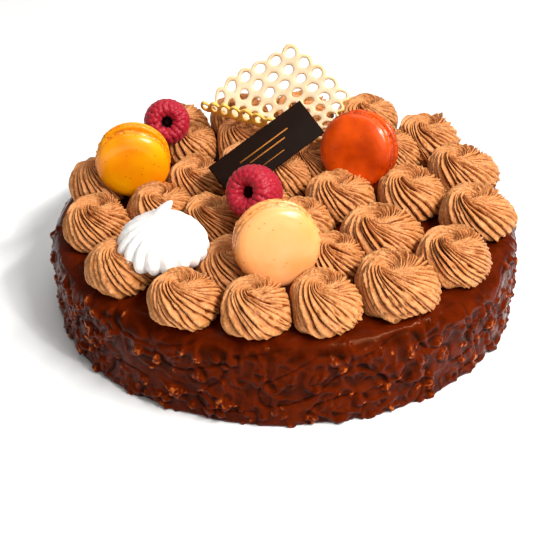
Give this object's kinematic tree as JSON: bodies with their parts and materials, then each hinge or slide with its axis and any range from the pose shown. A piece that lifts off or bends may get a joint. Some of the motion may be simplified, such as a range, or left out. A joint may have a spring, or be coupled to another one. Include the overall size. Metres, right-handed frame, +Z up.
{
  "type": "chocolate macaron cake",
  "caption": "Round glazed chocolate cake with nut-studded sides, piped cream rosettes, and macarons, meringue, raspberries, a plain plaque and a curled lattice wafer on top.",
  "frame": {"origin": "middle of the cake's underside", "axes": "+Z up, +X to the right and -Y towards the viewer of the front"},
  "size_m": [0.2394, 0.2389, 0.1019],
  "materials": {
    "chocolate_glaze": "glossy",
    "chocolate_cream": "satin",
    "yellow_macaron": "satin",
    "orange_macaron": "satin",
    "rust_macaron": "satin",
    "macaron_filling": "matt",
    "meringue": "matt",
    "raspberry": "satin",
    "dark_chocolate": "satin",
    "wafer": "satin"
  },
  "bodies": {
    "root": {"cake_body": "chocolate_glaze", "rosette_rim_01": "chocolate_cream", "rosette_rim_02": "chocolate_cream", "rosette_rim_03": "chocolate_cream", "rosette_rim_04": "chocolate_cream", "rosette_rim_05": "chocolate_cream", "rosette_rim_06": "chocolate_cream", "rosette_rim_07": "chocolate_cream", "rosette_rim_08": "chocolate_cream", "rosette_rim_09": "chocolate_cream", "rosette_rim_10": "chocolate_cream", "rosette_rim_11": "chocolate_cream", "rosette_rim_12": "chocolate_cream", "rosette_rim_13": "chocolate_cream", "rosette_rim_14": "chocolate_cream", "rosette_rim_15": "chocolate_cream", "rosette_rim_16": "chocolate_cream", "rosette_middle_01": "chocolate_cream", "rosette_middle_02": "chocolate_cream", "rosette_middle_03": "chocolate_cream", "rosette_middle_04": "chocolate_cream", "rosette_middle_05": "chocolate_cream", "rosette_middle_06": "chocolate_cream", "rosette_middle_07": "chocolate_cream", "rosette_middle_08": "chocolate_cream", "rosette_middle_09": "chocolate_cream", "rosette_middle_10": "chocolate_cream", "rosette_middle_11": "chocolate_cream", "rosette_inner_01": "chocolate_cream", "rosette_inner_02": "chocolate_cream", "rosette_inner_03": "chocolate_cream", "rosette_inner_04": "chocolate_cream", "rosette_inner_05": "chocolate_cream", "rosette_inner_06": "chocolate_cream", "rosette_inner_07": "chocolate_cream", "macaron_yellow_front": "yellow_macaron", "macaron_yellow_filling": "macaron_filling", "macaron_yellow_back": "yellow_macaron", "macaron_orange_front": "orange_macaron", "macaron_orange_filling": "macaron_filling", "macaron_orange_back": "orange_macaron", "macaron_rust_front": "rust_macaron", "macaron_rust_filling": "macaron_filling", "macaron_rust_back": "rust_macaron", "meringue": "meringue", "raspberry_back": "raspberry", "raspberry_front": "raspberry", "plaque": "dark_chocolate", "lattice_wafer": "wafer"}
  },
  "joints": []
}
